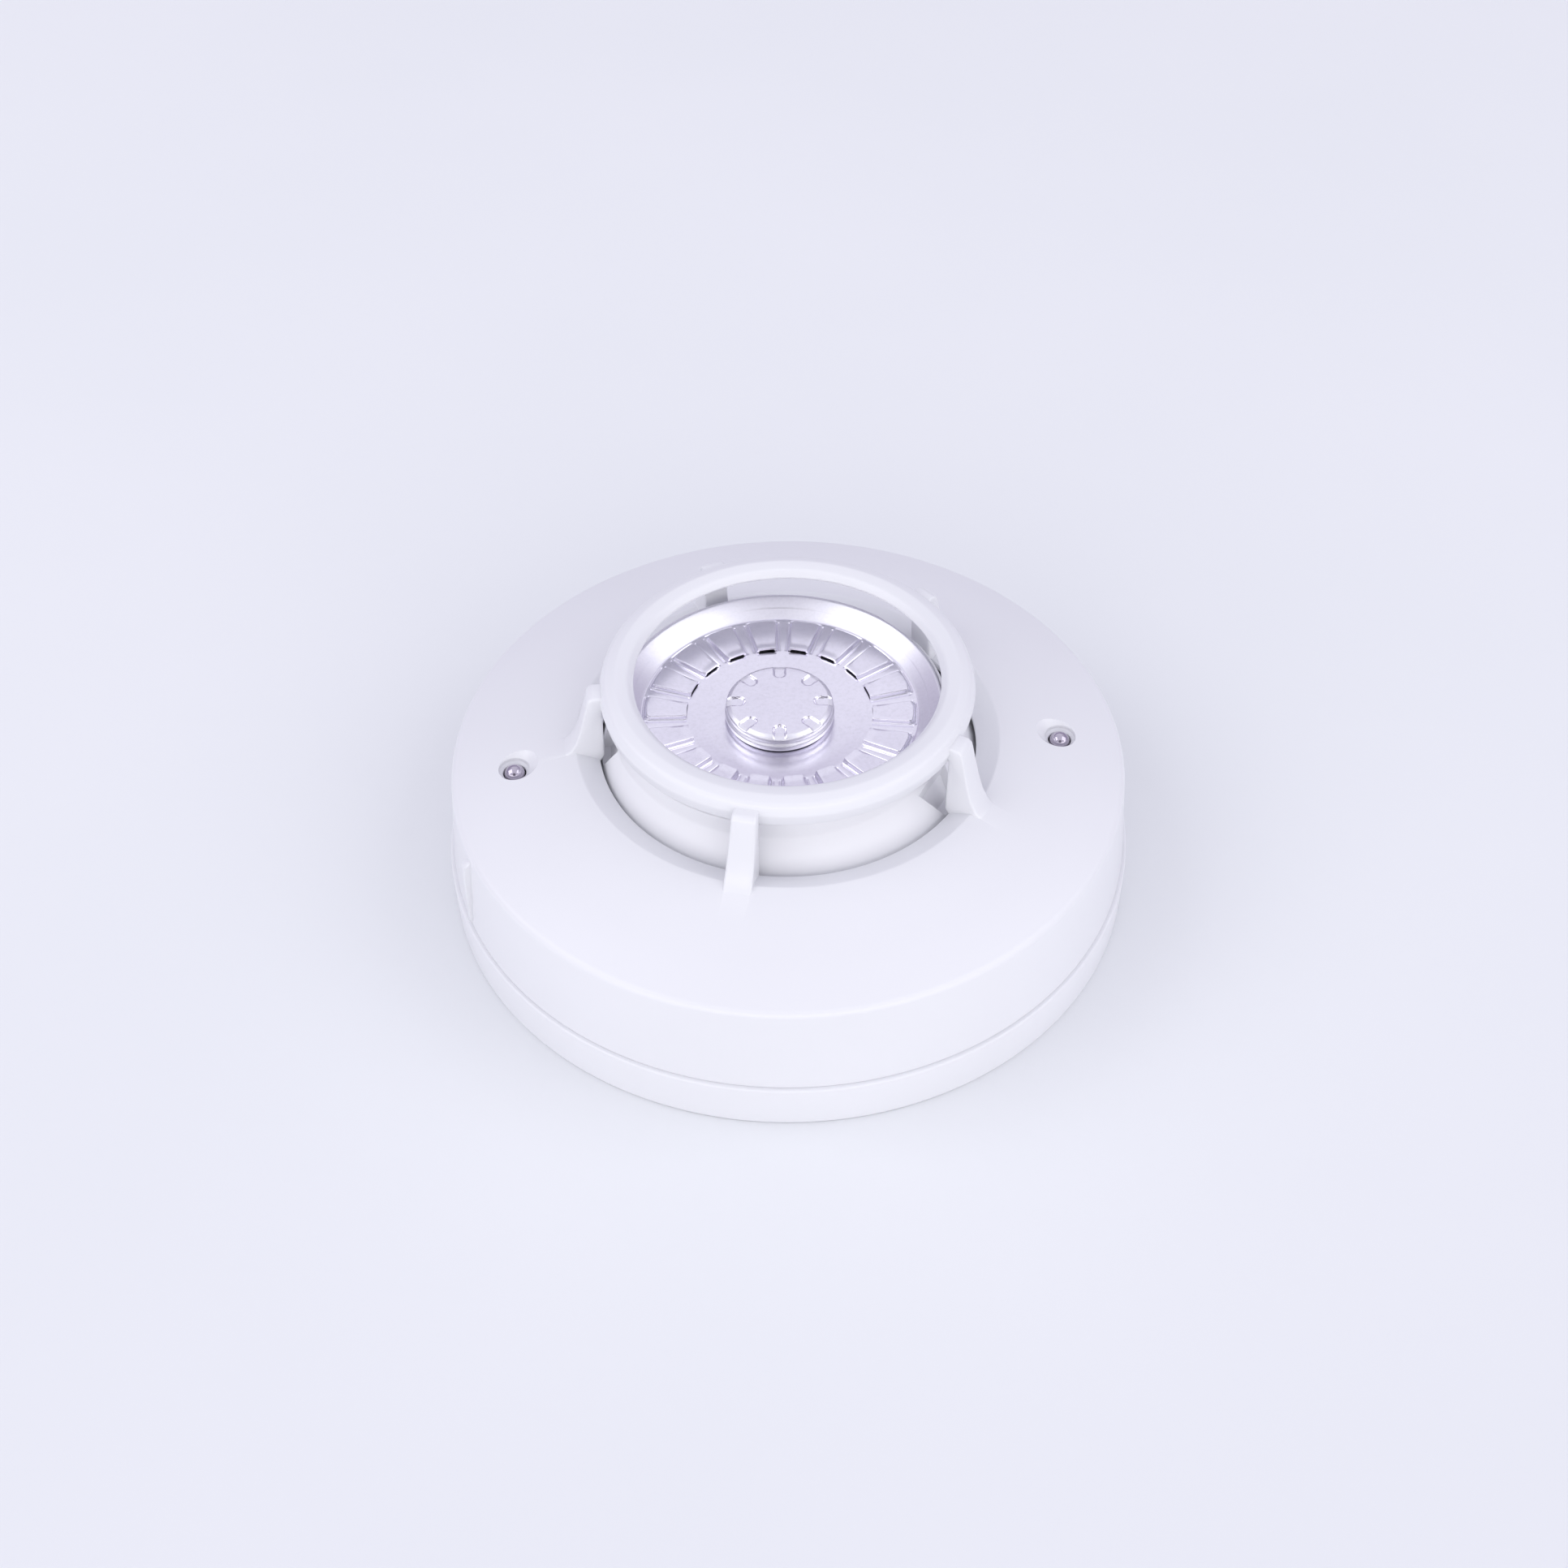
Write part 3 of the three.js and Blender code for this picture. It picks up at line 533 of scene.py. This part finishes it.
# ------------------------------------------------------------------ inner housing
def unit_centre():
    lo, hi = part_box("heat_plate")
    return ((lo.x + hi.x) / 2 / MM, (lo.y + hi.y) / 2 / MM)


UX, UY = unit_centre()


def lean(v):
    w = np.clip((v[:, 2] - 22.4) / 5.2, 0, 1)
    v = v.copy()
    v[:, 0] += w * UX
    v[:, 1] += w * UY
    return v


def make_inner():
    prof = fillet([(26.1, 14.7, 0.2), (27.7, 14.7, 0.2), (27.7, 19.6, 0.3), (33.0, 19.6, 0.3), (33.0, 21.0, 0.3), (27.9, 21.0, 0.3), (26.8, 22.4, 0.8),
                   (23.85, 27.6, 1.2), (23.7, 29.95, 0.22), (23.2, 29.95, 0.22), (23.15, 29.4, 0.1), (21.9, 28.7, 0.1), (21.9, 26.2, 0.1), (22.5, 26.0, 0.2),
                   (25.2, 21.2, 0.5), (25.2, 19.6, 0.2), (26.1, 18.9, 0.2)], 6)
    ob = lathe("inner_housing_shell", densify(prof, 1.2), 192, WHITE_IN, move=lean)
    cuts = []
    for i, a in enumerate(POSTS):
        if i == 1:
            continue
        pts = [(-1.9, 22.9), (1.9, 22.9), (5.8, 31), (-5.8, 31)]
        bm = bmesh.new()
        c, s = math.cos(rad(a)), math.sin(rad(a))

        def put(r, t, z):
            return bm.verts.new(((r * c - t * s) * MM, (r * s + t * c) * MM, z * MM))
        f = [put(28.5, t, z) for t, z in pts]
        b = [put(22.9, t, z) for t, z in pts]
        bm.faces.new(f)
        bm.faces.new(list(reversed(b)))
        for k in range(4):
            bm.faces.new((f[k], b[k], b[(k + 1) % 4], f[(k + 1) % 4]))
        bmesh.ops.recalc_face_normals(bm, faces=bm.faces)
        me = bpy.data.meshes.new("notch")
        bm.to_mesh(me)
        bm.free()
        o = bpy.data.objects.new("notch", me)
        scene.collection.objects.link(o)
        cuts.append(o)
    # a thin web is left behind every notch
    for i, o in enumerate(cuts):
        web = lathe("web", [(0, 20), (25.9, 20), (25.9, 21.4), (23.3, 26.1), (23.3, 31.5), (0, 31.5)], 96, WHITE_IN, move=lean, closed=False)
        boolean(o, [web], "DIFFERENCE")
    boolean(ob, cuts, "DIFFERENCE")
    clean(ob)
    smooth(ob, 35)
    ob.data.materials.clear()
    ob.data.materials.append(WHITE_IN)
    finish_piece(ob, "head", "inner_white", "inner_housing")
    return ob


# ------------------------------------------------------------------ heat plate
PAD_TURN = 3.7


def sstep(x, a, b):
    t = np.clip((x - a) / (b - a), 0, 1)
    return t * t * (3 - 2 * t)


def plate_height(r, th):
    """Top surface of the pressed plate, mm, at radius r and angle th (radians) about the plate's centre."""
    z = np.interp(r, [6.95, 8.2, 9.5, 11.0, 13.0, 19.3, 19.65, 19.95, 21.05, 21.10, 21.2, 22.6, 22.8, 22.95],
                  [27.42, 27.44, 27.52, 27.64, 27.86, 28.36, 28.41, 28.56, 29.32, 29.35, 29.46, 30.42, 30.50, 30.46])
    # raised pads, opened at their inner ends
    k = math.pi / 9
    a = (th - rad(PAD_TURN)) / k
    u = (a - np.floor(a) - 0.5) * k          # angle from the pad's middle
    t = np.abs(u) * r
    half = 1.62 + (2.42 - 1.62) * (r - 13.2) / (19.2 - 13.2)
    side = 1 - sstep(t, half - 0.30, half + 0.08)
    outer = 1 - sstep(r, 18.85, 19.3)
    inner = (r >= 13.2).astype(float)
    dome = 0.62 + 0.10 * (1 - sstep(r, 13.2, 14.4))
    corner = 1 - sstep(np.hypot(np.maximum(t - (half - 0.9), 0), np.maximum(r - 18.4, 0)), 0.5, 1.0)
    pad = side * outer * inner * dome * corner
    # a thin hem line where each pad's side meets the sheet
    hem = -0.11 * np.exp(-((t - half - 0.16) / 0.12) ** 2) * (r > 13.4) * (r < 19.1)
    end = -0.10 * np.exp(-((r - 19.36) / 0.11) ** 2) * (1 - sstep(t, half - 0.5, half + 0.1))
    return z + pad + hem + end, pad


def make_plate():
    # radial lines are placed at every change of slope; angular lines repeat with the pads
    rr = sorted(set([round(x, 3) for x in
                     list(np.linspace(6.95, 12.9, 14)) + [13.0, 13.1, 13.195, 13.205, 13.3, 13.45, 13.7] + list(np.linspace(14, 18.2, 15))
                     + list(np.linspace(18.35, 19.4, 17)) + [19.48, 19.56, 19.65, 19.8, 19.95, 20.1, 20.3] + list(np.linspace(20.45, 20.95, 4)) + [21.05, 21.09, 21.14, 21.2, 21.3]
                     + list(np.linspace(21.5, 22.5, 6)) + [22.6, 22.7, 22.8, 22.88, 22.95]]))
    k = math.pi / 9
    # angle samples within one pad pitch, closer together near the pads' sloping sides
    # fractions of half a pitch: 0 is the pad's middle, 1 the foot of its side, 2 the middle of the bridge to the next pad
    ua = np.concatenate([np.linspace(0, 0.76, 5)[:-1], np.linspace(0.76, 1.0, 13)[:-1], np.linspace(1.0, 1.35, 6)[:-1], np.linspace(1.35, 2.0, 3)])
    ua = np.concatenate([-ua[::-1], ua[1:]])[:-1]
    mids = rad(PAD_TURN) + (np.arange(18) + 0.5) * k
    M = np.repeat(mids, len(ua))
    F = np.tile(ua, 18)
    nr, nt = len(rr), len(M)
    R = np.repeat(np.array(rr)[:, None], nt, axis=1)
    half = 1.62 + (2.42 - 1.62) * (np.clip(R, 13.2, 19.2) - 13.2) / (19.2 - 13.2)
    edge = (half + 0.08) / np.clip(R, 13.2, 19.2)
    au = np.abs(F)[None, :]
    T = M[None, :] + np.sign(F)[None, :] * np.where(au <= 1, au * edge, edge + (au - 1) * (k / 2 - edge))
    Z, pad = plate_height(R, T)
    X, Y = R * np.cos(T), R * np.sin(T)
    verts = list(zip((X + UX).ravel(), (Y + UY).ravel(), Z.ravel()))
    faces = []
    i_slot = rr.index(13.195)
    idx = lambda i, j: i * nt + (j % nt)
    for i in range(nr - 1):
        for j in range(nt):
            if i == i_slot and min(pad[i + 1, j], pad[i + 1, (j + 1) % nt]) > 0.12:
                continue      # the lanced inner end of each pad stays open
            faces.append((idx(i, j), idx(i + 1, j), idx(i + 1, j + 1), idx(i, j + 1)))
    ob = mesh_object("heat_plate_sheet", np.array(verts) * MM, faces, [ALU, ALU_BRIGHT])
    me = ob.data
    # polished rim
    bright = []
    for p in me.polygons:
        c = p.center / MM
        r = math.hypot(c.x - UX, c.y - UY)
        bright.append(1 if r > 19.75 else 0)
    me.polygons.foreach_set("material_index", bright)
    bm = bmesh.new()
    bm.from_mesh(me)
    bmesh.ops.recalc_face_normals(bm, faces=bm.faces)
    up = sum(f.normal.z for f in bm.faces)
    if up < 0:
        bmesh.ops.reverse_faces(bm, faces=bm.faces)
    bmesh.ops.delete(bm, geom=[v for v in bm.verts if not v.link_faces], context="VERTS")
    bm.to_mesh(me)
    bm.free()
    me.polygons.foreach_set("use_smooth", [True] * len(me.polygons))
    s = ob.modifiers.new("sheet", "SOLIDIFY")
    s.thickness = 0.32 * MM
    s.offset = -1
    s.use_even_offset = False
    bpy.context.view_layer.update()
    dg = bpy.context.evaluated_depsgraph_get()
    new = bpy.data.meshes.new_from_object(ob.evaluated_get(dg))
    ob.modifiers.clear()
    ob.data = new
    smooth(ob, 40)
    finish_piece(ob, "head", "plate_aluminium", "heat_plate")
    return ob


# ------------------------------------------------------------------ element cup
CUP_TURN = -4.4


def make_cup():
    lo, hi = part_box("element_cup")
    cx, cy = (lo.x + hi.x) / 2 / MM, (lo.y + hi.y) / 2 / MM
    # outer skin from the centre of the top to the flange, then back up inside
    top = [(0, 30.4, 0), (6.95, 30.4, 0.45), (7.55, 30.0, 0.45), (7.62, 29.4, 0.3), (7.42, 29.1, 0.18), (7.75, 28.75, 0.3), (7.75, 27.95, 0.5), (7.25, 27.6, 0.2),
           (6.7, 27.6, 0.2), (6.65, 26.6, 0.1), (8.3, 26.6, 0.15), (8.3, 26.0, 0.15), (6.1, 26.0, 0.1), (6.1, 28.2, 0.2), (6.9, 28.45, 0.15), (6.9, 29.4, 0.3), (6.4, 29.85, 0.3), (0, 29.85, 0)]
    pts = fillet(top, 5)
    inner = [(0, 30.4), (1.5, 30.4), (2.5, 30.4), (3.2, 30.4)] + [(x, 30.4) for x in np.arange(3.6, 6.3, 0.12)]
    pts = inner + [p for p in pts[1:]]

    def scallop(v):
        r = np.hypot(v[:, 0], v[:, 1])
        th = np.arctan2(v[:, 1], v[:, 0])
        k = math.pi / 4
        a = (th - rad(CUP_TURN)) / k
        u = (a - np.floor(a + 0.5)) * k
        t = np.abs(u) * r
        # round-ended flute, open at the rim
        d = np.where(r < 5.75, np.hypot(t, 5.75 - r), t)
        depth = 1 - sstep(d, 0.66, 0.96)
        upper = (v[:, 2] > 29.9)
        v = v.copy()
        v[:, 2] -= np.where(upper, depth * 0.34 * np.clip((v[:, 2] - 29.9) / 0.5, 0, 1), 0)
        return v

    ob = lathe("element_cup_cap", pts, 384, [ALU, ALU_BRIGHT], move=scallop, closed=False, centre=(cx, cy))
    me = ob.data
    ids = []
    for p in me.polygons:
        c = p.center / MM
        r = math.hypot(c.x - cx, c.y - cy)
        ids.append(0 if (c.z > 30.02 and r < 6.55) else 1)
    me.polygons.foreach_set("material_index", ids)
    smooth(ob, 38)
    finish_piece(ob, "head", "plate_aluminium", "element_cup")
    return ob


# ------------------------------------------------------------------ indicators
def make_led(name, s):
    prof = [(0, 23.3)]
    for i in range(1, 17):
        t = i / 16 * math.pi / 2
        prof.append((1.5 * math.sin(t), 21.8 + 1.5 * math.cos(t)))
    prof += [(1.5, 19.2), (1.5, 17.95), (1.55, 17.9), (1.8, 17.9), (1.85, 17.85), (1.85, 17.15), (1.8, 17.1), (0, 17.1)]
    ob = lathe(f"led_{name}_lens", prof, 64, LENS, closed=False, centre=(s * LED_X, LED_Y))
    legs = []
    for d in (-1.1, 1.1):
        legs.append(prism("leg", [(s * LED_X - 0.25, 12.2), (s * LED_X + 0.25, 12.2), (s * LED_X + 0.25, 17.5), (s * LED_X - 0.25, 17.5)], 0.5, 0, STEEL, bevel=0.06, seg=1, centre=(0, LED_Y + d)))
    boolean(ob, legs, "UNION")
    me = ob.data
    me.materials.clear()
    me.materials.append(LENS)
    me.materials.append(STEEL)
    me.polygons.foreach_set("material_index", [1 if (p.center.z / MM) < 17.05 else 0 for p in me.polygons])
    smooth(ob, 35)
    finish_piece(ob, "head", "led_clear", f"led_{name}")
    return ob


# ------------------------------------------------------------------ mounting base
def make_base():
    prof = fillet([(13, 0, 0.35), (50, 0, 0.45), (50, 7.2, 0.35), (47.8, 7.2, 0.3), (47.8, 2.0, 0.5), (14.4, 2.0, 0.4), (14.4, 3.4, 0.25), (13, 3.4, 0.25)], 5)
    ob = lathe("mounting_base_tray", prof, 256, WHITE)
    adds = []
    for a in (0, 90, 180, 270):
        adds.append(outline("pad", slot_outline(22.9, 39.1, 7.8, a), 1.0, 2.8, WHITE, bevel=0.2))
    for a in (45, 135, 225, 315):
        adds.append(prism("boss", [(22.8, 1.0), (32.0, 1.0), (32.0, 3.0), (22.8, 3.0)], 8.4, a, WHITE, bevel=0.25, seg=2))
    for a in (30, 150, 270):
        adds.append(outline("lug", sector(46.2, 48.4, a - 8, a + 8), 5.2, 6.8, WHITE, bevel=0.2))
        adds.append(outline("stop", sector(46.2, 48.4, a - 10.4, a - 8.6, 3), 1.5, 6.8, WHITE, bevel=0.15))
    boolean(ob, adds, "UNION")
    cuts = []
    for a in (0, 90, 180, 270):
        cuts.append(outline("slot", slot_outline(24.5, 37.5, 4.6, a), -1, 4, WHITE))
    for a in (45, 135, 225, 315):
        cuts.append(outline("pilot", disc_outline(1.8, 27.5 * math.cos(rad(a)), 27.5 * math.sin(rad(a)), 24), 0.8, 5, WHITE))
    boolean(ob, cuts, "DIFFERENCE")
    clean(ob)
    smooth(ob, 30)
    finish_piece(ob, "base", "white_plastic", "mounting_base")
    return ob


make_cover()
make_inner()
make_plate()
make_cup()
make_led("left", -1)
make_led("right", 1)
make_base()

# ------------------------------------------------------------------ CAD nodes that stay: materials and softened edges
BY_SLOT = {"white_plastic": WHITE, "inner_white": WHITE_IN, "plate_aluminium": ALU, "spring_bronze": BRONZE, "steel": STEEL, "silver": SILVER,
           "black_plastic": BLACK, "board": BOARD, "led_clear": LENS, "seal_rubber": RUBBER, "ivory_plastic": IVORY, "blue_coating": BLUE}
slot_of = {p["node"]: p["material_slot"] for p in frame["record"]["subparts"]}
for n, o in NODES.items():
    m = BY_SLOT[slot_of[n]]
    o.data.materials.clear()
    o.data.materials.append(m)
    for p in o.data.polygons:
        p.material_index = 0
    o.data.set_sharp_from_angle(angle=rad(32))
    o.data.polygons.foreach_set("use_smooth", [True] * len(o.data.polygons))
    if not o.hide_render:
        b = o.modifiers.new("soft_edges", "BEVEL")
        b.width = 0.06 * MM
        b.segments = 2
        b.limit_method = "ANGLE"
        b.angle_limit = rad(40)


# ------------------------------------------------------------------ stage
def make_stage():
    size = 3.0
    ob = mesh_object("floor", [(-size, -size, 0), (size, -size, 0), (size, size, 0), (-size, size, 0)], [(0, 1, 2, 3)], None)
    m = Nodes("pale_floor")
    broad = m.noise(8, 3)
    col = m.mix(m.remap(broad, 0, 1, 0.3, 0.7), (0.775, 0.792, 0.806), (0.795, 0.808, 0.822))
    ob.data.materials.clear()
    ob.data.materials.append(m.set(color=col, rough=0.9, spec=0.1))

    w = bpy.data.worlds.new("studio")
    scene.world = w
    w.use_nodes = True
    t = w.node_tree
    t.nodes.clear()
    out = t.nodes.new("ShaderNodeOutputWorld")
    bg = t.nodes.new("ShaderNodeBackground")
    t.links.new(bg.outputs[0], out.inputs[0])
    co = t.nodes.new("ShaderNodeTexCoord")
    sep = t.nodes.new("ShaderNodeSeparateXYZ")
    t.links.new(co.outputs["Generated"], sep.inputs[0])
    def band(axis, lo, hi):
        m = t.nodes.new("ShaderNodeMapRange")
        m.interpolation_type = "SMOOTHSTEP"
        m.inputs["From Min"].default_value = lo
        m.inputs["From Max"].default_value = hi
        t.links.new(sep.outputs[axis], m.inputs["Value"])
        return m.outputs[0]

    def blend(fac, a, b):
        m = t.nodes.new("ShaderNodeMix")
        m.data_type = "RGBA"
        t.links.new(fac, m.inputs[0])
        for i, v in ((6, a), (7, b)):
            if isinstance(v, tuple):
                m.inputs[i].default_value = (*v, 1)
            else:
                t.links.new(v, m.inputs[i])
        return m.outputs[2]
    # near the horizon: dark at the back and sides, bright in front; overhead: bright, with a dim patch where the viewer stands
    low = blend(band("Y", 0.10, -0.75), (0.41, 0.37, 0.52), (1.93, 1.91, 1.97))
    side = t.nodes.new("ShaderNodeMath")
    side.operation = "ABSOLUTE"
    t.links.new(sep.outputs["X"], side.inputs[0])
    aside = t.nodes.new("ShaderNodeMapRange")
    aside.interpolation_type = "SMOOTHSTEP"
    aside.inputs["From Min"].default_value = 0.25
    aside.inputs["From Max"].default_value = 0.75
    t.links.new(side.outputs[0], aside.inputs["Value"])
    high = blend(aside.outputs[0], (0.86, 0.852, 0.955), (0.56, 0.54, 0.66))
    sky = blend(band("Z", 0.42, 0.66), low, high)
    dot = t.nodes.new("ShaderNodeVectorMath")
    dot.operation = "DOT_PRODUCT"
    dot.inputs[1].default_value = (-0.05, -0.70, 0.71)
    t.links.new(co.outputs["Generated"], dot.inputs[0])
    spot = t.nodes.new("ShaderNodeMapRange")
    spot.interpolation_type = "SMOOTHSTEP"
    spot.inputs["From Min"].default_value = math.cos(rad(21))
    spot.inputs["From Max"].default_value = math.cos(rad(10))
    t.links.new(dot.outputs["Value"], spot.inputs["Value"])
    sky = blend(spot.outputs[0], sky, (0.12, 0.11, 0.15))
    t.links.new(sky, bg.inputs[0])
    bg.inputs[1].default_value = 1.0

    def lamp(name, loc, target, sx, sy, power, color):
        l = bpy.data.lights.new(name, "AREA")
        l.shape = "RECTANGLE"
        l.size, l.size_y = sx, sy
        l.energy = power
        l.color = color
        o = bpy.data.objects.new(name, l)
        o.location = loc
        o.rotation_mode = "QUATERNION"
        o.rotation_quaternion = (Vector(target) - Vector(loc)).to_track_quat("-Z", "Y")
        scene.collection.objects.link(o)
    c, s = math.cos(-TURN), math.sin(-TURN)
    for sign, power in ((-1, 2.5), (1, 2.0)):
        x, y, z = sign * 0.71, -0.06, 0.74
        lamp(f"softbox_{'left' if sign < 0 else 'right'}", ((x * c - y * s), (x * s + y * c), z), (0, 0, 0.02), 0.72, 0.72, power, (0.965, 0.99, 1.0))


make_stage()
